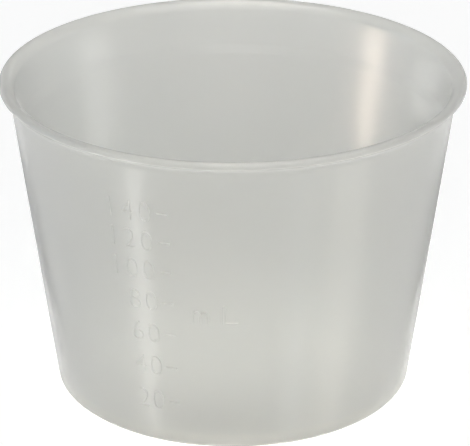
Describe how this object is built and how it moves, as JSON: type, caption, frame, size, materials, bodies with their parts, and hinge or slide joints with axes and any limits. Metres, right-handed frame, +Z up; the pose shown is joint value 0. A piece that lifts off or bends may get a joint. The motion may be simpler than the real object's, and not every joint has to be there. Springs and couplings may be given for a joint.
{
  "type": "gallipot",
  "caption": "Small tapered pot in translucent plastic with a flared rounded lip, an inner stacking shoulder and a moulded volume scale, for holding and measuring liquids.",
  "frame": {"origin": "on the table, under the middle of the foot", "axes": "+Z up along the pot's axis, -Y to the front, where the scale is, +X to the right of the front"},
  "size_m": [0.078, 0.078, 0.0544],
  "materials": {
    "polypropylene": "translucent, moulded, soft gloss"
  },
  "bodies": {
    "root": {"floor": "polypropylene", "foot_ring": "polypropylene", "side_wall": "polypropylene", "stacking_collar": "polypropylene", "rim_lip": "polypropylene"}
  },
  "joints": []
}
